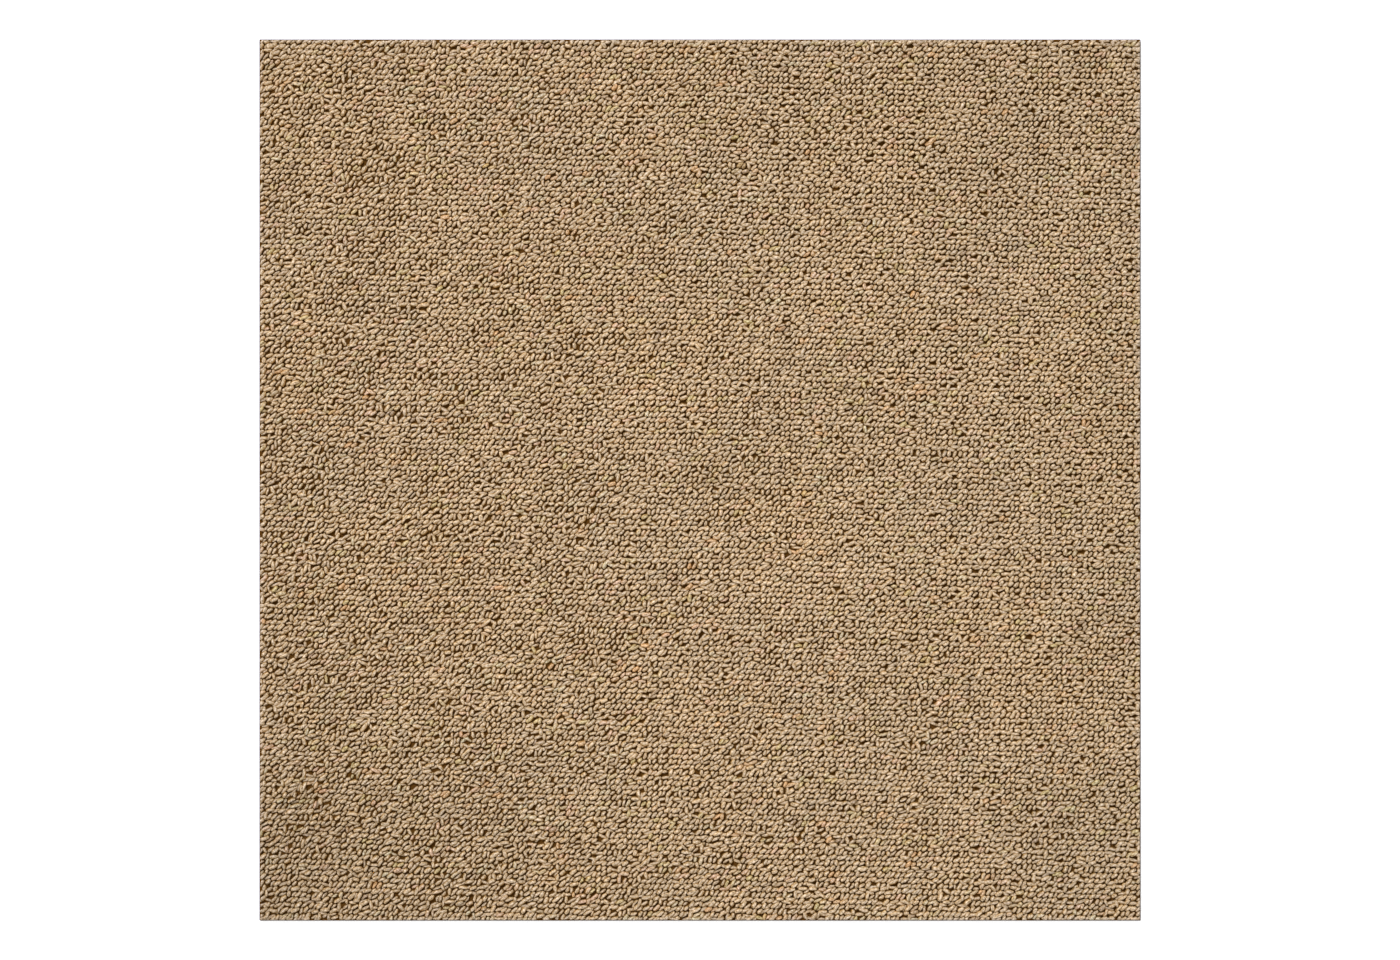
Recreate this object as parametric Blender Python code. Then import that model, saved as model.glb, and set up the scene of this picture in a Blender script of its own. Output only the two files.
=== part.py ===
"""A square carpet tile with a level loop pile: the layers it is made of, at their real size.

The tile lies flat on Z = 0, centred on the origin, with its pile up. From the floor it has
a heavy backing slab, the primary backing cloth that the yarn is tufted through, and the
pile itself. The tuft rows run along X, a little askew, as on a tile that was die-cut from
the roll slightly off the tuft line. The separate loops along each row are finer than this
model goes: each row is one rounded ridge.
"""

import math

import bmesh
import bpy
from mathutils import Matrix

# Driving dimensions, in metres
TILE_SIDE = 0.500  # each edge of the square
BACKING_THICKNESS = 0.0024
CLOTH_THICKNESS = 0.0004
PILE_HEIGHT = 0.0031  # from the foot of the loops to their tips
BOND_GAP = 0.0003  # left between two bonded layers, so that their solids stay apart

# The tufting
ROW_PITCH = 0.00308  # from one tuft row to the next
FURROW_DEPTH = 0.0009  # how far the pile dips between two rows
FACETS_PER_ROW = 4  # flat facets that round each ridge
ROW_SKEW = math.radians(-1.32)  # turn of the rows from the tile's X edge

# Where each layer starts, measured up from the floor
CLOTH_BOTTOM = BACKING_THICKNESS + BOND_GAP
PILE_BOTTOM = CLOTH_BOTTOM + CLOTH_THICKNESS + BOND_GAP

# Colours are linear RGB
YARN_COLOUR = (0.44, 0.32, 0.20, 1.0)
CLOTH_COLOUR = (0.10, 0.075, 0.05, 1.0)
BACKING_COLOUR = (0.022, 0.022, 0.024, 1.0)


def clear_scene():
    """Empties the file, so that the script gives the same tile each time it runs."""
    for thing in list(bpy.data.objects):
        bpy.data.objects.remove(thing, do_unlink=True)


def make_material(name, colour, roughness):
    """A plain, non-metallic surface of one colour."""
    material = bpy.data.materials.new(name)
    material.use_nodes = True
    shader = material.node_tree.nodes["Principled BSDF"]
    shader.inputs["Base Color"].default_value = colour
    shader.inputs["Roughness"].default_value = roughness
    shader.inputs["Metallic"].default_value = 0.0
    return material


def add_object(name, shape, material=None):
    """Puts a finished bmesh into the scene as one named object."""
    mesh = bpy.data.meshes.new(name)
    shape.to_mesh(mesh)
    shape.free()
    placed = bpy.data.objects.new(name, mesh)
    bpy.context.scene.collection.objects.link(placed)
    if material is not None:
        mesh.materials.append(material)
    return placed


def square_block(side, bottom, thickness):
    """A square block centred over the origin, from height bottom up."""
    shape = bmesh.new()
    size = Matrix.Diagonal((side, side, thickness, 1.0))
    lift = Matrix.Translation((0.0, 0.0, bottom + thickness / 2))
    bmesh.ops.create_cube(shape, size=1.0, matrix=lift @ size)
    return shape


def pile_profile(reach):
    """The pile's section across its rows, as (across, height) points out to at least reach.

    The top is one half-ellipse per row. It stands ROW_PITCH wide and FURROW_DEPTH high, with
    its furrows a half pitch either side of the row's line.
    """
    rows_each_side = math.ceil(reach / ROW_PITCH)
    crest = PILE_BOTTOM + PILE_HEIGHT
    top = []
    for row in range(-rows_each_side, rows_each_side + 1):
        for facet in range(FACETS_PER_ROW):
            off_line = facet / FACETS_PER_ROW - 0.5
            drop = FURROW_DEPTH * (1.0 - math.sqrt(1.0 - (2.0 * off_line) ** 2))
            top.append(((row + off_line) * ROW_PITCH, crest - drop))
    last_furrow = (rows_each_side + 0.5) * ROW_PITCH
    top.append((last_furrow, crest - FURROW_DEPTH))
    return [(-last_furrow, PILE_BOTTOM), *top, (last_furrow, PILE_BOTTOM)]


def ridged_sheet():
    """A sheet of ridges larger than the tile, turned by the rows' skew."""
    reach = TILE_SIDE  # past half the tile's diagonal, so that the cutter trims every side
    shape = bmesh.new()
    outline = [shape.verts.new((-reach, across, height)) for across, height in pile_profile(reach)]
    end = shape.faces.new(outline)
    grown = bmesh.ops.extrude_face_region(shape, geom=[end])["geom"]
    moved = [item for item in grown if isinstance(item, bmesh.types.BMVert)]
    bmesh.ops.translate(shape, verts=moved, vec=(2 * reach, 0.0, 0.0))
    bmesh.ops.rotate(shape, verts=shape.verts, matrix=Matrix.Rotation(ROW_SKEW, 3, "Z"))
    bmesh.ops.recalc_face_normals(shape, faces=shape.faces)
    return shape


def tile_cutter():
    """The die that trims the pile square: taller than the pile at both ends."""
    clearance = PILE_HEIGHT
    cutter = add_object(
        "tile_cutter",
        square_block(TILE_SIDE, PILE_BOTTOM - clearance, PILE_HEIGHT + 2 * clearance),
    )
    cutter.hide_render = True
    cutter.display_type = "WIRE"
    return cutter


def build_backing(material):
    """The heavy slab that holds the tile flat and lies on the floor."""
    return add_object("backing_slab", square_block(TILE_SIDE, 0.0, BACKING_THICKNESS), material)


def build_cloth(material):
    """The primary backing: the thin cloth that the yarn is tufted through."""
    return add_object(
        "primary_backing", square_block(TILE_SIDE, CLOTH_BOTTOM, CLOTH_THICKNESS), material
    )


def build_pile(material):
    """The loop pile: ridges trimmed to the tile's square."""
    pile = add_object("loop_pile", ridged_sheet(), material)
    trim = pile.modifiers.new("die_cut", "BOOLEAN")
    trim.operation = "INTERSECT"
    trim.solver = "EXACT"
    trim.object = tile_cutter()
    return pile


def build_tile():
    """Clears the file and builds the tile's three layers from the floor up."""
    clear_scene()
    build_backing(make_material("backing", BACKING_COLOUR, 0.75))
    build_cloth(make_material("cloth", CLOTH_COLOUR, 0.95))
    build_pile(make_material("yarn", YARN_COLOUR, 0.9))
    bpy.context.view_layer.update()


build_tile()
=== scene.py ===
# %% [markdown]
# # A loop pile carpet tile
#
# The tile is a square of tufted carpet, 500 mm on each side, lying face up on a pale floor.
# The solid model gives the places and thicknesses of its three layers: a heavy backing slab,
# a thin cloth, and the pile. This lesson dresses them: the pile becomes some 27 thousand
# separate loops of heather yarn, the cloth becomes a weave, and the slab gets its compound.

# %% Load the solid model
import math

import bpy
import numpy as np
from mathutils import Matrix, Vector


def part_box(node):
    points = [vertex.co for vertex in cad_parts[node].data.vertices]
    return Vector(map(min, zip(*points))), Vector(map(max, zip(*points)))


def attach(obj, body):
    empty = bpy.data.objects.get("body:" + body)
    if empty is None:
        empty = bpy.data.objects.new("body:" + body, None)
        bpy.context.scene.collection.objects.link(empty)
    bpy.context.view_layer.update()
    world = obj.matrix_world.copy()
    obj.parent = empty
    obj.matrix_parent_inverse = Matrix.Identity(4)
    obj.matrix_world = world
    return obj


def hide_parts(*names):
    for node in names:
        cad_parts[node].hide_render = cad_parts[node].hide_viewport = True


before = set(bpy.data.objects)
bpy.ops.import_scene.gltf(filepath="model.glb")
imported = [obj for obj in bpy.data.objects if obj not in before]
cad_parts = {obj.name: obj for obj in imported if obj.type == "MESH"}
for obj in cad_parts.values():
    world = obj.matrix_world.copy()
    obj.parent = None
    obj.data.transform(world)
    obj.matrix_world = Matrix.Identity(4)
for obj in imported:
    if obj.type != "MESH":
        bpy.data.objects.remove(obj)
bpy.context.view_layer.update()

pile_low, pile_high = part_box("loop_pile")
cloth_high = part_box("primary_backing")[1]
slab_low, slab_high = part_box("backing_slab")


# %% [markdown]
# ## The camera
#
# The tile is seen from straight above. It fills 881 of the picture's 1400 pixels across. Its
# outline is that of the slab, because the outer loops end just inside it. So the width of the
# view at the slab's top is known, and with it the height at which the lens has that view. A
# long lens is far enough away to keep the tile's sides from showing. The camera comes first
# because it decides how fine everything else has to be.

# %% Set the camera
PICTURE_PIXELS = (1400, 960)
TILE_PIXELS = 881
LENS = 85.0
SENSOR = 36.0

tile_side = pile_high[0] - pile_low[0]
view_width = tile_side * PICTURE_PIXELS[0] / TILE_PIXELS
camera_height = slab_high[2] + view_width * LENS / SENSOR

camera_data = bpy.data.cameras.new("camera")
camera_data.lens = LENS
camera_data.sensor_width = SENSOR
camera = bpy.data.objects.new("camera", camera_data)
camera.location = (0.0, 0.0, camera_height)
bpy.context.scene.collection.objects.link(camera)
bpy.context.scene.camera = camera
pixel = view_width / PICTURE_PIXELS[0]
print(f"camera {camera_height:.3f} m up, one pixel is {1000 * pixel:.3f} mm of pile")

# %% [markdown]
# ## Smooth random fields
#
# Nothing on a real tile is perfectly regular, and most of what varies does so slowly: the
# rows wander, and the loops lean one way here and another way there. A smooth random field
# gives such a drift. A grid of random numbers could be blurred, but a sum of plane waves with
# random headings needs no grid, and it can be asked for its value at any set of points.

# %% A field that drifts
WAVES = 24
SHORTEST_WAVE, LONGEST_WAVE = 0.7, 1.6


def drift(points, length, seed):
    """A smooth random number for each point, of mean 0 and spread 1.

    Formula: the sum of cosine waves with random headings and phases, whose wavelengths lie
    around length, divided by the root of half their number.
    """
    draw = np.random.default_rng(seed)
    heading = draw.uniform(0.0, 2.0 * math.pi, WAVES)
    wavelength = length * draw.uniform(SHORTEST_WAVE, LONGEST_WAVE, WAVES)
    phase = draw.uniform(0.0, 2.0 * math.pi, WAVES)
    across = np.stack([np.cos(heading), np.sin(heading)]) * (2.0 * math.pi / wavelength)
    return np.cos(points @ across + phase).sum(axis=1) / math.sqrt(WAVES / 2.0)


# %% [markdown]
# ## Where the loops stand
#
# A tufting machine pushes a row of needles through the cloth, one yarn to a needle. The cloth
# moves on by one stitch and the needles come down again. Each yarn then makes one row of
# loops. The needles stand 3.08 mm apart, and a stitch is 2.95 mm. The tile was cut from the
# roll a little off square, so its rows fall a little to the right.
#
# The needle bar also steps sideways between stitches and pulls some loops tighter, so tall
# loops and low loops alternate like the squares of a chess board. Every second row lies about
# a third of a stitch further along.

# %% Lay out the tufting
ROW_PITCH = 0.00308
STITCH = 0.002946
ROW_SKEW = math.radians(-1.317)
COLUMN_LEAN = math.radians(0.333)
SPARE_ROWS, SPARE_STITCHES = 6, 8
SEED = 20
half = tile_side / 2


def lattice(side):
    """Row and stitch numbers of every loop that could touch the tile, and its ideal place.

    Formula: row number times the step from row to row, plus stitch number times the step
    along a row. The row step leans by COLUMN_LEAN and the stitch step by ROW_SKEW.
    """
    rows = int(side / ROW_PITCH / 2) + SPARE_ROWS
    stitches = int(side / STITCH / 2) + SPARE_STITCHES
    row, stitch = np.meshgrid(
        np.arange(-rows, rows + 1), np.arange(-stitches, stitches + 1), indexing="ij"
    )
    row, stitch = row.ravel(), stitch.ravel()
    along = STITCH * np.array([math.cos(ROW_SKEW), math.sin(ROW_SKEW)])
    up = ROW_PITCH * np.array([-math.tan(COLUMN_LEAN), 1.0])
    return row, stitch, row[:, None] * up + stitch[:, None] * along


row, stitch, place = lattice(tile_side)
odd_row = row % 2 == 1
tall = (row + stitch) % 2 == 0
print(len(row), "lattice points,", round(tile_side / ROW_PITCH, 1), "rows on the tile")

# %% [markdown]
# ## How each loop stands
#
# The loops on the left of the tile slant up to the right, and those on the right lie nearer to
# their rows. Each loop then strays from its neighbours by its own small amount. The four
# kinds of loop, tall or low in an even or an odd row, have their own places in the repeat, so
# what differs between them is a table of four values: even and low, even and tall, odd and low,
# odd and tall. Shifts are shares of a stitch or of a row, headings are in degrees, and sizes
# are in metres.

# %% Give each loop its own stance
SLANT, SLANT_FALL, SLANT_LIMITS = 0.8, (0.8, 0.3), (0.2, 1.2)
SHIFT_ALONG = (-0.18, -0.15, 0.15, 0.14)
SHIFT_UP = (-0.05, 0.07, -0.09, 0.12)
HEADING = (12, 62, 6, 26)
HEADING_BY_SLANT = (20, -4, 24, 10)
LENGTH_SHARE = (1.0, 0.98, 1.05, 1.0)
WIDTH_SHARE = (0.94, 1.05, 0.98, 1.06)
DROP = (0.0001, 0.0, 0.0001, 0.0)
DROP_BY_SLANT = (0.0009, 0.0, 0.0009, 0.0)
STRAY, STRAY_BY_SLANT = 0.045, 0.055
OWN_TURN, OWN_TURN_BY_SLANT = 15.0, 6.0
DRIFT_ALONG, DRIFT_UP, DRIFT_TURN, DRIFT_SLANT = 0.12, 0.09, 8.0, 0.12
HALF_LENGTH, HALF_LENGTH_BY_SLANT = 0.00225, 0.0005
HALF_WIDTH, HALF_WIDTH_BY_SLANT = 0.00103, -0.00011
LENGTH_SPREAD, WIDTH_SPREAD, DROP_SPREAD = 0.12, 0.10, 0.00012
LEAST_DROP = 0.0001
MOST_ROLL = 22

draw = np.random.default_rng(SEED)
count = len(row)


def pick(even_low, even_tall, odd_low, odd_tall):
    """One of four values for each loop, by its row and its height."""
    return np.where(
        odd_row, np.where(tall, odd_tall, odd_low), np.where(tall, even_tall, even_low)
    )


# How strongly the loops slant: about 1.2 at the left edge and 0.4 at the right edge
fall = (SLANT_FALL[0] * place[:, 0] + SLANT_FALL[1] * place[:, 1]) / tile_side
slant = np.clip(SLANT - fall, *SLANT_LIMITS) + DRIFT_SLANT * drift(place, 0.06, 1)

stray = STRAY + STRAY_BY_SLANT * slant
shift_along = STITCH * (
    pick(*SHIFT_ALONG)
    + DRIFT_ALONG * drift(place, 0.10, 2)
    + stray * draw.normal(0, 1, count)
)
shift_up = ROW_PITCH * (
    pick(*SHIFT_UP)
    + DRIFT_UP * drift(place, 0.11, 3)
    + stray * draw.normal(0, 1, count)
)
own_turn = (OWN_TURN + OWN_TURN_BY_SLANT * slant) * draw.normal(0, 1, count)
own_turn = own_turn + DRIFT_TURN * drift(place, 0.018, 7)
heading = np.radians(pick(*HEADING) + pick(*HEADING_BY_SLANT) * slant + own_turn)
place = place + np.stack([shift_along, shift_up], axis=1)

half_length = (HALF_LENGTH + HALF_LENGTH_BY_SLANT * slant) * pick(*LENGTH_SHARE)
half_length = half_length * (1.0 + LENGTH_SPREAD * draw.normal(0, 1, count))
half_width = (HALF_WIDTH + HALF_WIDTH_BY_SLANT * slant) * pick(*WIDTH_SHARE)
half_width = half_width * (1.0 + WIDTH_SPREAD * draw.normal(0, 1, count))
roll = np.radians(draw.uniform(-MOST_ROLL, MOST_ROLL, count))
drop = pick(*DROP) + pick(*DROP_BY_SLANT) * slant
drop = drop + LEAST_DROP + np.abs(DROP_SPREAD * draw.normal(0, 1, count))
crown = pile_high[2] - drop
mean_size = [round(2000 * size.mean(), 1) for size in (half_length, half_width)]
print("a loop is on average", mean_size[0], "mm long and", mean_size[1], "mm wide")

# %% [markdown]
# ## The loops crowd each other
#
# Loops are plumper than the space they are given, so they shoulder each other aside until they
# lie close, with only slits between them. A physics run with so many loops would be slow. Here
# three discs stand for each loop, one in its middle and a smaller one near each tip. In each
# round, overlapping discs of neighbouring loops push their loops apart and turn them, and the
# cloth draws each loop back towards its own stitch. The neighbours are known from the lattice,
# so each round is a handful of whole-array sums.

# %% Let the loops push each other aside
ROUNDS = 16
SETTLE = 1.25
TIP_SIZE = 0.7
PUSH, TURN, HOLD = 0.22, 0.07, 0.1
FURTHEST_PUSH, FURTHEST_TURN = 0.0003, 0.1
NEIGHBOURS = ((0, 1), (0, 2), (1, -2), (1, -1), (1, 0), (1, 1), (1, 2))
DISC_PLACES = np.array([-1.0, 0.0, 1.0])
DISC_SIZES = SETTLE * np.array([TIP_SIZE, 1.0, TIP_SIZE])


def crowd(place, heading, length, width):
    """Places and headings of the loops after they have pushed each other aside.

    Formula: each pair of discs pushes along the line between them, by as much as they overlap.
    A loop moves by the sum of its pushes, turns by the sum of their levers over its own
    inertia, and goes back by a share, HOLD, of the way that it has come.
    """
    shape = (np.ptp(row) + 1, np.ptp(stitch) + 1)
    place, heading = place.reshape(*shape, 2), heading.reshape(shape)
    width = width.reshape(shape)
    arm = length.reshape(shape) - width
    size = width[..., None] * DISC_SIZES
    inertia = 2 * arm**2 / 3 + width**2
    home, first = place, heading
    for _ in range(ROUNDS):
        way = np.stack([np.cos(heading), np.sin(heading)], axis=-1)
        lever = (arm[..., None] * DISC_PLACES)[..., None] * way[:, :, None, :]
        discs = place[:, :, None, :] + lever
        push, turn = np.zeros_like(place), np.zeros_like(heading)
        for rows, stitches in NEIGHBOURS:
            near = np.s_[: shape[0] - rows, max(0, -stitches) : shape[1] - max(0, stitches)]
            far = np.s_[rows:, max(0, stitches) : shape[1] + min(0, stitches)]
            gap = discs[far][:, :, None, :, :] - discs[near][:, :, :, None, :]
            distance = np.sqrt((gap**2).sum(axis=-1)) + 1e-9
            wanted = size[near][:, :, :, None] + size[far][:, :, None, :]
            force = gap * (np.clip(wanted - distance, 0, None) / distance)[..., None]
            for loop, pushes in ((far, force.sum(axis=2)), (near, -force.sum(axis=3))):
                push[loop] += pushes.sum(axis=2)
                turn[loop] += (
                    lever[loop][..., 0] * pushes[..., 1] - lever[loop][..., 1] * pushes[..., 0]
                ).sum(axis=2)
        place = place + np.clip(PUSH * push, -FURTHEST_PUSH, FURTHEST_PUSH) + HOLD * (home - place)
        heading = (
            heading
            + np.clip(TURN * turn / inertia, -FURTHEST_TURN, FURTHEST_TURN)
            + HOLD * (first - heading)
        )
    return place.reshape(-1, 2), heading.ravel()


before = place
place, heading = crowd(place, heading, half_length, half_width)
moved = np.sqrt(((place - before) ** 2).sum(axis=1))
print(f"the loops moved {1000 * moved.mean():.2f} mm on average")

# %% [markdown]
# ## The cut through the outer loops
#
# The die cuts the tile through its outer loops, and the soft pile draws back a little from the
# cut, so from above the slab's dark edge shows between the outer loops. Every loop whose middle
# is well outside is left off. The others have their middle brought inside the cut, and later
# their corners are kept inside it too, which gives them a flat side there.

# %% Keep the loops that the tile holds
EDGE_CURL = 0.0007
EDGE_ROOM = 0.0004
EDGE_REACH = 0.0005
cut = half - EDGE_CURL
inner = cut - EDGE_ROOM
kept = np.abs(place).max(axis=1) < half + EDGE_REACH
place = np.where(kept[:, None], np.clip(place, -inner, inner), place)
print(int(kept.sum()), "loops are on the tile")

# %% [markdown]
# ## The ends of neighbouring loops meet
#
# A loop isn't straight. Its yarn comes up beside the foot of another loop, so from above the
# loops bend and chain into worm-like strands. Each end of a loop looks for the end nearby that
# best carries on its line, and the two are drawn together. Later, a curve through the middle
# and the two ends bows the loop.

# %% Draw the ends together
JOIN_ROUNDS = 3
JOIN = 0.6
JOIN_REACH = 0.0032
JOIN_TURN = 0.003
AROUND = [(up, along) for up in (-1, 0, 1) for along in (-2, -1, 0, 1, 2) if (up, along) != (0, 0)]


def meet_ends(place, heading, length):
    """The two ends of each loop, as loops by 2 by XY, once they have been drawn together.

    Formula: an end is half a length from the middle. Its partner is the nearby end of least
    cost: the distance between them, plus JOIN_TURN times half of one plus the cosine between
    their outward ways, so that a strand goes on and doesn't turn back. In each round an end
    moves a share, JOIN, of half the way to its partner.
    """
    middle = place.reshape(np.ptp(row) + 1, np.ptp(stitch) + 1, 1, 2)
    way = np.stack([length * np.cos(heading), length * np.sin(heading)], axis=1)
    ends = middle + way.reshape(middle.shape) * np.array([[-1.0], [1.0]])
    for _ in range(JOIN_ROUNDS):
        out = ends - middle
        out = out / np.sqrt((out**2).sum(axis=-1, keepdims=True))
        least = np.full(ends.shape[:3], JOIN_REACH)
        pull = np.zeros_like(ends)
        for step in AROUND:
            other = np.roll(ends, step, axis=(0, 1))
            other_out = np.roll(out, step, axis=(0, 1))
            for k in (0, 1):
                gap = other[:, :, k : k + 1] - ends
                alike = (out * other_out[:, :, k : k + 1]).sum(axis=-1)
                cost = np.sqrt((gap**2).sum(axis=-1)) + JOIN_TURN * (1 + alike) / 2
                better = cost < least
                least = np.where(better, cost, least)
                pull = np.where(better[..., None], gap, pull)
        ends = ends + 0.5 * JOIN * pull
    return ends.reshape(-1, 2, 2)


ends = meet_ends(place, heading, half_length)
bow = np.abs(ends.mean(axis=1) - place).max(axis=1)
print(f"a loop bows by {1000 * bow.mean():.2f} mm on average")

# %% [markdown]
# ## The colour of the yarn
#
# The yarn is a heather: filaments dyed in several colours are blown together, so the mix
# changes every few millimetres along a yarn. Most of it is beige. Here and there one loop, or
# two in a row, shows more orange, olive, pink, pale green or umber. The mix is drawn for each
# loop and partly shared with the next loop on its yarn, as it is in the real thing.
#
# Over longer ways the tile changes a little in tone and hue at random, as dyed yarn does.
# Painted shade makes it a little darker towards its edges and darkest around the near left
# corner, and it darkens evenly to the right.

# %% Colour each loop
BEIGE = np.array([0.505, 0.380, 0.257])
FLECKS = {
    "orange": ((0.57, 0.27, 0.08), 0.010),
    "olive": ((0.43, 0.36, 0.11), 0.020),
    "pink": ((0.59, 0.35, 0.26), 0.022),
    "pale green": ((0.49, 0.46, 0.32), 0.018),
    "umber": ((0.20, 0.12, 0.08), 0.018),
}
LIGHTNESS_SPREAD = 0.035
WARMTH_SPREAD = 0.009
SHARED = 0.5
WARMTH_TINT = np.array([1.0, 0.0, -1.8])
# Each drift's weight, its length in metres and its seed
WARMTH_DRIFTS = ((0.005, 0.12, 10), (0.005, 0.03, 11), (0.006, 0.010, 12))
SHADE_DRIFTS = ((0.012, 0.12, 8), (0.007, 0.03, 9))
# Painted shade: a fall towards the edges and a darker patch around the near left corner; the slope
# darkens the pile evenly to the right
EDGE_FALL, SLOPE = 0.04, 0.07
CORNER_SHADE, CORNER_SHADE_REACH = 0.15, 0.13
LEAST_FLECK, MOST_FLECK, FLECK_SHARED = 0.1, 0.45, 0.6
DARKEST, LIGHTEST = 0.01, 0.9


def along_yarn(values, share):
    """Shares part of each loop's value with the next loop on its yarn.

    Formula: a weighted sum of a loop's value and its neighbour's, scaled to keep the spread.
    """
    return (values + share * np.roll(values, 1, axis=0)) / math.sqrt(1 + share**2)


def slow_shade(points):
    """How light the pile is at each point, for slow changes over the tile.

    Formula: two drifts of random tone, less painted shade, which is a fall towards the edges
    with the fourth power of the distance from the middle and a bell-shaped darker patch around
    the near left corner, less an even slope to the right.
    """
    edge = EDGE_FALL * ((points / half) ** 4).sum(axis=1)
    corner = ((points + half) ** 2).sum(axis=1)
    # Painted shade, darkest at the near left corner
    corner_shade = CORNER_SHADE * np.exp(-corner / CORNER_SHADE_REACH**2)
    slope = SLOPE * points[:, 0] / tile_side
    change = sum(weight * drift(points, *how) for weight, *how in SHADE_DRIFTS)
    return 1.0 + change - edge - corner_shade - slope


def loop_colours_and_painted_shade(total, seed):
    """Linear RGB for each loop: beige, varied in lightness and hue, with a few flecks, and
    the slow changes of slow_shade, which are partly painted shade.
    """
    source = np.random.default_rng(seed)
    lightness = 1.0 + LIGHTNESS_SPREAD * along_yarn(source.normal(0, 1, total), SHARED)
    warmth = WARMTH_SPREAD * along_yarn(source.normal(0, 1, total), SHARED)
    for weight, *how in WARMTH_DRIFTS:
        warmth = warmth + weight * drift(place, *how)
    colour = BEIGE * lightness[:, None] * (1 + warmth[:, None] * WARMTH_TINT)
    for fleck, chance in FLECKS.values():
        amount = source.uniform(LEAST_FLECK, MOST_FLECK, total)
        amount = amount * (source.uniform(0, 1, total) < chance)
        spread = np.maximum(amount, FLECK_SHARED * np.roll(amount, 1))[:, None]
        colour = colour * (1 - spread) + np.array(fleck) * spread
    # Times slow_shade, part of which is painted shade
    return np.clip(colour * slow_shade(place)[:, None], DARKEST, LIGHTEST)


yarn = loop_colours_and_painted_shade(count, SEED + 1)
print("mean yarn colour:", np.round(yarn.mean(axis=0), 3))

# %% [markdown]
# ## One loop
#
# A loop is a short arch of soft yarn: it comes up out of the cloth, bends over and goes down
# again. From above only its crown shows, as a plump bean, and lower down its loose filaments
# fill the space to the next loop. A swept tube would spend most of its faces on the hidden
# feet. Three rings of five points with a point at each foot make a closed arch of thirty
# triangles, and smooth shading rounds it. Each ring has a crown, two shoulders and a wide base.

# %% Shape the loops
RING_ALONG = np.array([-0.70, 0.0, 0.70])
RING_WIDTH = np.array([0.86, 1.0, 0.86])
RING_DROP = np.array([0.17, 0.0, 0.17])
SECTION_ACROSS = np.array([0.0, -0.87, -1.20, 1.20, 0.87])
SECTION_UP = np.array([1.0, 0.31, -0.81, -0.81, 0.31])
SIDES = len(SECTION_UP)
FOOT_ALONG = np.array([-0.97, 0.97])
YARN_THICKNESS = 0.0026
foot_height = cloth_high[2]


def loop_points(middle, ends, width, tilt, top):
    """The corners of every loop, as an array of loops by 17 corners by XYZ.

    Formula: seen from above, the loop's line is the parabola through its middle and its two
    ends. Ring k is the section, RING_WIDTH as wide as the loop and one yarn thick, tilted,
    set square to the line at RING_ALONG and sunk by RING_DROP of the yarn. The two feet are
    single points on the cloth, at FOOT_ALONG.
    """
    ring_count = len(RING_ALONG)
    half_way = (ends[:, 1] - ends[:, 0])[:, None, :] / 2
    bow = (ends[:, 1] + ends[:, 0])[:, None, :] / 2 - middle[:, None, :]
    at = np.concatenate([RING_ALONG, FOOT_ALONG])[:, None]
    line = middle[:, None, :] + at * half_way + at**2 * bow
    ahead = half_way + 2 * RING_ALONG[:, None] * bow
    ahead = ahead / np.sqrt((ahead**2).sum(axis=2, keepdims=True))
    sideways = np.stack([-ahead[:, :, 1], ahead[:, :, 0]], axis=2)

    radius = 0.5 * YARN_THICKNESS
    cos, sin = np.cos(tilt)[:, None], np.sin(tilt)[:, None]
    flat_section = width[:, None] * SECTION_ACROSS
    section_across = flat_section * cos - radius * SECTION_UP * sin
    section_up = radius * SECTION_UP * cos + flat_section * sin
    ring_across = RING_WIDTH[:, None] * section_across[:, None, :]
    rings = line[:, :ring_count, None, :] + sideways[:, :, None, :] * ring_across[..., None]
    ring_middle = top[:, None] - radius - YARN_THICKNESS * RING_DROP
    ring_up = np.minimum(ring_middle[:, :, None] + section_up[:, None, :], pile_high[2])

    total = len(middle)
    rings = np.clip(rings.reshape(total, -1, 2), -cut, cut)
    feet = np.clip(line[:, ring_count:], -inner, inner)
    up = np.concatenate([ring_up.reshape(total, -1), np.full((total, 2), foot_height)], axis=1)
    return np.concatenate([np.concatenate([rings, feet], axis=1), up[..., None]], axis=2)


def loop_faces():
    """Corner numbers of one loop's faces: ten quads between rings, five triangles per end."""
    nxt = (np.arange(SIDES) + 1) % SIDES
    here = np.arange(SIDES)
    around = np.stack([here, here + SIDES, nxt + SIDES, nxt], 1)
    quads = [around, around + SIDES]
    start, end = 3 * SIDES, 3 * SIDES + 1
    first = np.stack([np.full(SIDES, start), here, nxt], 1)
    last = np.stack([np.full(SIDES, end), 2 * SIDES + nxt, 2 * SIDES + here], 1)
    return np.concatenate(quads), np.concatenate([first, last])


quad_corners, triangle_corners = loop_faces()
print(2 * len(quad_corners) + len(triangle_corners), "triangles in a loop")

# %% [markdown]
# ## Maps for the yarn
#
# Each loop carries two flat maps. One measures along and around the yarn, in metres, so that
# filaments follow the loop. The other gives each loop a small patch of its own in the unit
# square, in a grid with a margin, so that colours can be stored for every loop.

# %% Flatten the loops
PATCH_MARGIN = 0.08
RING_LEVEL = np.array([0.2, 0.5, 0.8])


def corner_rows(*places):
    """Face corners of a ring of faces: for each corner, how far along, and around in sides."""
    return np.stack(
        [np.stack([np.full(SIDES, along), around / SIDES], 1) for along, around in places], 1
    )


def flat_corners():
    """(along, around) in 0 to 1 for each face corner of one loop, the faces as in loop_faces.

    Formula: a foot is at 0 or 1 along and the rings are at RING_LEVEL. Around, each corner of
    the section is one more share of the way, from the crown and back to it.
    """
    side = np.arange(SIDES)
    levels = zip(RING_LEVEL[:-1], RING_LEVEL[1:])
    quads = [corner_rows((a, side), (b, side), (b, side + 1), (a, side + 1)) for a, b in levels]
    start, end = RING_LEVEL[0], RING_LEVEL[-1]
    first = corner_rows((0.0, side + 0.5), (start, side), (start, side + 1))
    last = corner_rows((1.0, side + 0.5), (end, side + 1), (end, side))
    return np.concatenate([part.reshape(-1, 2) for part in (*quads, first, last)])


flat = flat_corners()


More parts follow.
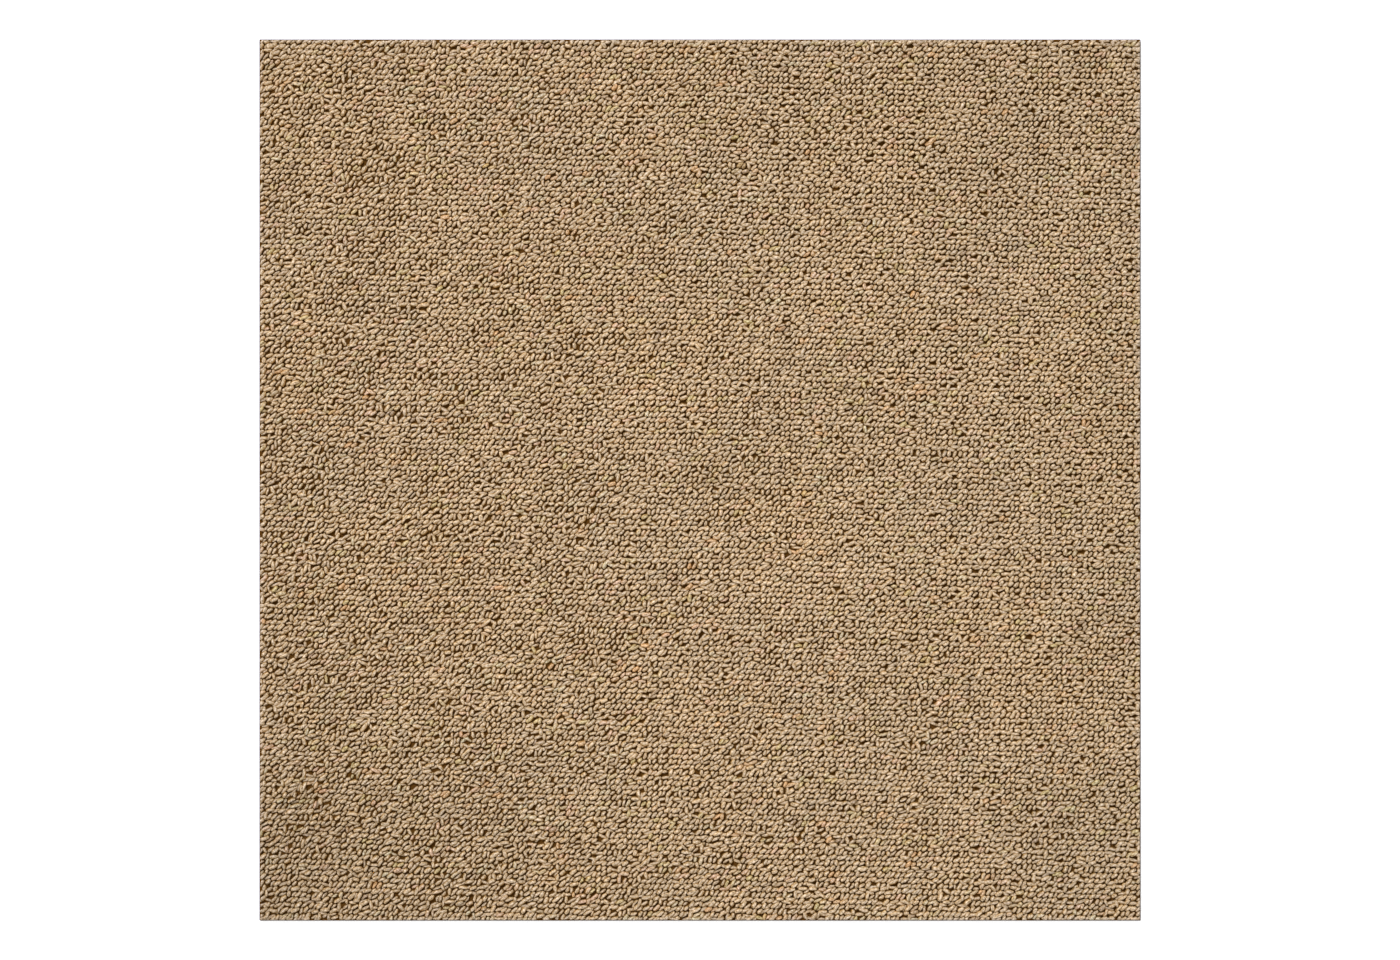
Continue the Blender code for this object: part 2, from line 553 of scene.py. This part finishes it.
def yarn_map(total, length, seed):
    """Metres along and around the yarn for each corner, with a random start for each loop."""
    start = np.random.default_rng(seed).uniform(0, 1, (total, 1, 2))
    size = np.stack([2 * length, np.full(total, math.pi * YARN_THICKNESS)], 1)[:, None, :]
    return flat[None] * size + start


def patch_map(total):
    """Places each loop's flat corners in its own square of a grid that fills 0 to 1."""
    across = math.ceil(math.sqrt(total))
    number = np.arange(total)
    cell = np.stack([number % across, number // across], 1)[:, None, :]
    inside = PATCH_MARGIN + (1 - 2 * PATCH_MARGIN) * flat[None]
    return (cell + inside) / across


print(len(flat), "face corners in a loop")

# %% [markdown]
# ## Shader arithmetic
#
# A material's numbers come from a graph of nodes. Written out node by node, a formula is hard
# to read, so this class lets ordinary arithmetic on a socket add the Math nodes for it.

# %% A socket that can be calculated with
class Wire:
    """An output socket of a node tree. Arithmetic on it adds one Math node for each step."""

    def __init__(self, socket):
        self.socket = socket

    def math(self, operation, *values):
        """The result of a Math node on these values."""
        settings = {"operation": operation}
        inputs = dict(enumerate(values))
        return add_node(self.socket.id_data, "ShaderNodeMath", settings, inputs)[0]

    def __add__(self, other):
        return self.math("ADD", self, other)

    def __radd__(self, other):
        return self.math("ADD", other, self)

    def __sub__(self, other):
        return self.math("SUBTRACT", self, other)

    def __rsub__(self, other):
        return self.math("SUBTRACT", other, self)

    def __mul__(self, other):
        return self.math("MULTIPLY", self, other)

    def __rmul__(self, other):
        return self.math("MULTIPLY", other, self)

    def sine(self):
        """The sine of this number, in radians."""
        return self.math("SINE", self)


def add_node(tree, kind, settings=None, inputs=None):
    """Adds a node, sets its settings first and then its sockets, and returns its outputs."""
    node = tree.nodes.new(kind)
    for name, value in (settings or {}).items():
        setattr(node, name, value)
    for name, value in (inputs or {}).items():
        if isinstance(value, Wire):
            tree.links.new(value.socket, node.inputs[name])
        else:
            node.inputs[name].default_value = value
    return {key: Wire(out) for i, out in enumerate(node.outputs) for key in (i, out.name)}


def mix_colours(tree, amount, none, full):
    """A colour between none and full, by an amount from 0 to 1."""
    amount_in, none_in, full_in, colour_out = 0, 6, 7, 2
    return add_node(
        tree,
        "ShaderNodeMix",
        {"data_type": "RGBA"},
        {amount_in: amount, none_in: none, full_in: full},
    )[colour_out]


def new_material(name, **constants):
    """A material with one Principled surface, and its tree and surface node."""
    material = bpy.data.materials.new(name)
    material.use_nodes = True
    tree = material.node_tree
    surface = tree.nodes["Principled BSDF"]
    for socket, value in constants.items():
        surface.inputs[socket.replace("_", " ")].default_value = value
    return material, tree, surface


def connect(tree, wire, surface, socket):
    """Links a wire to one of the surface's sockets."""
    tree.links.new(wire.socket, surface.inputs[socket])


# %% [markdown]
# ## Yarn
#
# Carpet yarn is hundreds of crimped nylon filaments. It is matt with a slight sheen at
# glancing angles, and it is streaked because the filaments differ in colour. A pale filament
# is greyer too, so the streak multiplies blue by more than red. The same streak roughens the
# surface. Its noise is stretched over the yarn's own flat map, so it follows each loop.

# %% Make the yarn's material
STREAKS_ALONG = 1000.0
STREAKS_ACROSS = 1100.0
STREAK_TINT = 2.7
FILAMENT_TINT = (0.90, 1.0, 1.22)
STREAK_HEIGHT = 0.0004
DULL, SHEEN = 0.95, 0.2


def make_yarn():
    """Heather nylon: the loop's colour with its painted shade, streaked and roughened along its
    filaments.
    """
    material, tree, surface = new_material("heather yarn", Specular_IOR_Level=0.12)
    # The corner colour holds the yarn's colour and the painted shade deep in the pile
    colour = add_node(tree, "ShaderNodeAttribute", {"attribute_name": "colour_with_painted_shade"})["Color"]
    flat_place = add_node(tree, "ShaderNodeUVMap", {"uv_map": "yarn"})["UV"]
    stretched = add_node(
        tree,
        "ShaderNodeVectorMath",
        {"operation": "MULTIPLY"},
        {0: flat_place, 1: (STREAKS_ALONG, STREAKS_ACROSS, 1.0)},
    )[0]
    streak = add_node(
        tree,
        "ShaderNodeTexNoise",
        {"noise_dimensions": "2D"},
        {"Vector": stretched, "Scale": 1.0, "Detail": 2.0},
    )["Fac"]
    strength = add_node(
        tree, "ShaderNodeCombineXYZ", inputs=dict.fromkeys("XYZ", STREAK_TINT * (streak - 0.5))
    )[0]
    paler = add_node(
        tree,
        "ShaderNodeVectorMath",
        {"operation": "MULTIPLY_ADD"},
        {0: strength, 1: FILAMENT_TINT, 2: (1.0, 1.0, 1.0)},
    )[0]
    tinted = add_node(
        tree, "ShaderNodeVectorMath", {"operation": "MULTIPLY"}, {0: paler, 1: colour}
    )[0]
    bump = add_node(
        tree,
        "ShaderNodeBump",
        inputs={"Height": streak, "Strength": 1.0, "Distance": STREAK_HEIGHT},
    )["Normal"]
    connect(tree, tinted, surface, "Base Color")
    connect(tree, DULL - SHEEN * streak, surface, "Roughness")
    connect(tree, bump, surface, "Normal")
    return material


yarn_material = make_yarn()
print("yarn material has", len(yarn_material.node_tree.nodes), "nodes")

# %% [markdown]
# ## The pile
#
# All the loops in one mesh would be too large a piece, so the pile is split into eight bands
# of rows. In each band every loop is the same set of faces with its own corners, which numpy
# writes in one go.
#
# Deep in the pile the yarn is in shade and looks darker and browner, because light has been
# through so much of it. That is painted shade, stored as a colour at each corner, by how far it
# is below the loop's own crown. Light reaches the tile's cut sides directly, so the painted shade
# fades there.

# %% Build the bands of the pile
BANDS = 8
QUAD_CORNERS = quad_corners.size
DEEP_SHADE = np.array([0.77, 0.47, 0.05])
SHADE_POWER = np.array([2.0, 2.0, 1.4])
SHADE_DEPTH = 0.0020
OPEN_SIDE = 0.001
OPEN_SHARE = 0.3


def mesh_piece(name, points, faces, material):
    """A new object from points and a list of face arrays, each with its corner numbers."""
    mesh = bpy.data.meshes.new(name)
    corners = np.concatenate([f.ravel() for f in faces])
    sizes = np.concatenate([np.full(len(f), f.shape[1]) for f in faces])
    mesh.vertices.add(len(points))
    mesh.vertices.foreach_set("co", points.astype(np.float32).ravel())
    mesh.loops.add(len(corners))
    mesh.loops.foreach_set("vertex_index", corners.astype(np.int32))
    mesh.polygons.add(len(sizes))
    mesh.polygons.foreach_set("loop_start", (np.cumsum(sizes) - sizes).astype(np.int32))
    mesh.update(calc_edges=True)
    mesh.shade_smooth()
    mesh.materials.append(material)
    piece = bpy.data.objects.new(name, mesh)
    bpy.context.scene.collection.objects.link(piece)
    return piece


def order_corners(values):
    """Puts values by loop and corner into the mesh's order: all quads first, then triangles."""
    quads, triangles = values[:, :QUAD_CORNERS], values[:, QUAD_CORNERS:]
    return np.concatenate([quads.reshape(-1, 2), triangles.reshape(-1, 2)])


def build_band(number, chosen):
    """One band of the pile, from the numbers of its loops."""
    points = loop_points(
        place[chosen], ends[chosen], half_width[chosen], roll[chosen], crown[chosen]
    )
    total, corner_count = points.shape[:2]
    first = (corner_count * np.arange(total))[:, None, None]
    faces = [
        (first + quad_corners[None]).reshape(-1, 4),
        (first + triangle_corners[None]).reshape(-1, 3),
    ]
    band = mesh_piece(f"pile_rows_{number + 1}", points.reshape(-1, 3), faces, yarn_material)
    # Painted shade: darker and browner deeper below the crown, less so at the cut sides
    depth = np.clip((crown[chosen][:, None, None] - points[:, :, 2:]) / SHADE_DEPTH, 0, 1)
    inside = cut - np.abs(points[:, :, :2]).max(axis=2, keepdims=True)
    depth = depth * np.clip(inside / OPEN_SIDE, OPEN_SHARE, 1)
    light = 1.0 - (1.0 - DEEP_SHADE) * depth**SHADE_POWER
    colour = np.ones((total, corner_count, 4))
    colour[:, :, :3] = yarn[chosen][:, None, :] * light
    attribute = band.data.color_attributes.new("colour_with_painted_shade", "FLOAT_COLOR", "POINT")
    attribute.data.foreach_set("color", colour.astype(np.float32).ravel())
    for name, corners in (
        ("yarn", yarn_map(total, half_length[chosen], SEED + 10 + number)),
        ("OFBake", patch_map(total)),
    ):
        layer = band.data.uv_layers.new(name=name)
        layer.uv.foreach_set("vector", order_corners(corners).astype(np.float32).ravel())
    return band


loops = np.nonzero(kept)[0]
loops = loops[np.argsort(row[loops], kind="stable")]
for number, chosen in enumerate(np.array_split(loops, BANDS)):
    band = build_band(number, chosen)
    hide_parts("loop_pile")
    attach(band, "root")
    triangles = sum(len(face.vertices) - 2 for face in band.data.polygons)
    print(band.name, len(chosen), "loops,", triangles, "triangles")

# %% [markdown]
# ## The backing cloth
#
# Between the loops the cloth shows as a dark ground. It is a plain weave of flat tapes. A
# thin closed sheet with two crossed sine waves for its weave is enough, because so little of
# it is seen. The waves also paint shade on it: each tape is darker where it dips and lighter
# on its crown. It was cut with the tile, so its flat size is the tile's own.

# %% Weave the backing cloth
CLOTH_STEPS = 96
CLOTH_LIFT = 0.00002
TAPE_PAIR = 0.0016
TAPE_HEIGHT = 0.0002
# Painted shade: the tape's colour where it dips, and on its crown
TAPE_DIP_SHADE = (0.060, 0.023, 0.002, 1)
TAPE_CROWN = (0.100, 0.040, 0.004, 1)


def cloth_sheet(steps):
    """Points and faces of a closed thin sheet that fills the space between slab and pile.

    Formula: two square grids, the upper one at the cloth's top and the lower one just clear
    of the slab, joined by a strip along their edges.
    """
    line = np.linspace(-half, half, steps + 1)
    x, y = np.meshgrid(line, line, indexing="ij")
    upper = np.stack([x, y, np.full_like(x, cloth_high[2])], 2).reshape(-1, 3)
    lower = np.stack([x, y, np.full_like(x, slab_high[2] + CLOTH_LIFT)], 2).reshape(-1, 3)
    side = steps + 1
    number = np.arange(side * side).reshape(side, side)
    a, b = number[:-1, :-1].ravel(), number[1:, :-1].ravel()
    c, d = number[1:, 1:].ravel(), number[:-1, 1:].ravel()
    top = np.stack([a, b, c, d], 1)
    bottom = np.stack([a, d, c, b], 1) + side * side
    rim = np.concatenate([number[:-1, 0], number[-1, :-1], number[:0:-1, -1], number[0, :0:-1]])
    following = np.roll(rim, -1)
    wall = np.stack([rim, rim + side * side, following + side * side, following], 1)
    return np.concatenate([upper, lower]), [top, bottom, wall]


def object_place(tree):
    """Object coordinates, whole and split into X, Y and Z."""
    whole = add_node(tree, "ShaderNodeTexCoord")["Object"]
    return whole, add_node(tree, "ShaderNodeSeparateXYZ", inputs={0: whole})


def make_cloth():
    """Dark matt tapes woven over and under, with painted shade where they dip."""
    material, tree, surface = new_material(
        "backing cloth", Roughness=0.95, Specular_IOR_Level=0.1
    )
    split = object_place(tree)[1]
    tape = 2 * math.pi / TAPE_PAIR
    weave = 0.5 + 0.5 * (split["X"] * tape).sine() * (split["Y"] * tape).sine()
    # Painted shade: the weave is darker where it dips and lighter on its crowns
    colour = mix_colours(tree, weave, TAPE_DIP_SHADE, TAPE_CROWN)
    bump = add_node(
        tree, "ShaderNodeBump", inputs={"Height": weave, "Strength": 0.5, "Distance": TAPE_HEIGHT}
    )["Normal"]
    connect(tree, colour, surface, "Base Color")
    connect(tree, bump, surface, "Normal")
    return material


points, faces = cloth_sheet(CLOTH_STEPS)
cloth = mesh_piece("backing_cloth", points, faces, make_cloth())
cloth.data.shade_flat()
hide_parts("primary_backing")
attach(cloth, "root")
print("cloth has", sum(len(f) * (f.shape[1] - 2) for f in faces), "triangles")

# %% [markdown]
# ## The backing slab
#
# The slab is a filled compound, pressed on hot. The solid's shape is right, so it stays and
# gets a better surface: near black, with pale mineral specks, and a fine embossed grid.

# %% Give the slab its compound
SPECKS = {"Scale": 1800.0, "Detail": 3.0}
CLOUDS = {"Scale": 60.0, "Detail": 4.0}
SPECK_SHARE, CLOUD_SHARE = 0.6, 0.4
GRID_PITCH, GRID_DEPTH = 0.004, 0.0003
SPECK_HEIGHT = 0.4
SLAB_DULL, SLAB_SHEEN = 0.85, 0.3
BITUMEN = (0.012, 0.012, 0.013, 1)
MINERAL = (0.045, 0.044, 0.043, 1)


def make_compound():
    """Dark filled compound with mineral specks and an embossed grid."""
    material, tree, surface = new_material("backing compound")
    whole, split = object_place(tree)
    specks = add_node(tree, "ShaderNodeTexNoise", inputs={"Vector": whole, **SPECKS})["Fac"]
    clouds = add_node(tree, "ShaderNodeTexNoise", inputs={"Vector": whole, **CLOUDS})["Fac"]
    groove = 2 * math.pi / GRID_PITCH
    emboss = (split["X"] * groove).sine() * (split["Y"] * groove).sine()
    colour = mix_colours(tree, SPECK_SHARE * specks + CLOUD_SHARE * clouds, BITUMEN, MINERAL)
    height = emboss + SPECK_HEIGHT * specks
    bump = add_node(
        tree, "ShaderNodeBump", inputs={"Height": height, "Strength": 0.6, "Distance": GRID_DEPTH}
    )["Normal"]
    connect(tree, colour, surface, "Base Color")
    connect(tree, SLAB_DULL - SLAB_SHEEN * clouds, surface, "Roughness")
    connect(tree, bump, surface, "Normal")
    return material


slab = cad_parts["backing_slab"]
slab.data.materials.clear()
slab.data.materials.append(make_compound())
print("slab", round(1000 * (slab_high[2] - slab_low[2]), 2), "mm thick")

# %% [markdown]
# ## Floor and light
#
# The floor is plain and pale, and it glows faintly, so the tile's own shadow on it stays soft.
# Light comes from all round, and a round lamp beyond the tile's far left corner gives each loop
# a lit side and each gap its shadow. It points at the tile's middle. The lamp is a little cooler
# than the light from all round, as a window's light is, so the shadows between the loops look
# warm.

# %% Set the floor and the lights
FLOOR_REACH = 6.0
FLOOR_GLOW = 0.45
WHITE = (1.0, 1.0, 1.0, 1.0)
floor_mesh = bpy.data.meshes.new("floor")
floor_mesh.from_pydata(
    [(x * FLOOR_REACH, y * FLOOR_REACH, 0.0) for x, y in ((-1, -1), (1, -1), (1, 1), (-1, 1))],
    [],
    [(0, 1, 2, 3)],
)
floor_material, _, _ = new_material(
    "floor",
    Base_Color=(0.92, 0.92, 0.92, 1),
    Roughness=0.9,
    Emission_Color=WHITE,
    Emission_Strength=FLOOR_GLOW,
)
floor_mesh.materials.append(floor_material)
floor = bpy.data.objects.new("floor", floor_mesh)
bpy.context.scene.collection.objects.link(floor)

# Place and size in metres, power in watts
KEY_PLACE = (-3.8, 6.7, 9.2)
KEY_SIZE = 2.0
KEY_POWER = 1430.0
KEY_COLOUR = (0.92, 1.0, 1.25)
SKY_STRENGTH = 0.84

key_data = bpy.data.lights.new("key", "AREA")
key_data.shape = "DISK"
key_data.size = KEY_SIZE
key_data.energy = KEY_POWER
key_data.color = KEY_COLOUR
key = bpy.data.objects.new("key", key_data)
key.location = KEY_PLACE
x, y, z = KEY_PLACE
key.rotation_euler = (math.atan2(math.hypot(x, y), z), 0.0, math.atan2(x, -y))
bpy.context.scene.collection.objects.link(key)

world = bpy.data.worlds.new("studio")
world.use_nodes = True
sky = world.node_tree.nodes["Background"]
sky.inputs["Color"].default_value = WHITE
sky.inputs["Strength"].default_value = SKY_STRENGTH
bpy.context.scene.world = world
bpy.context.scene.view_settings.view_transform = "Standard"
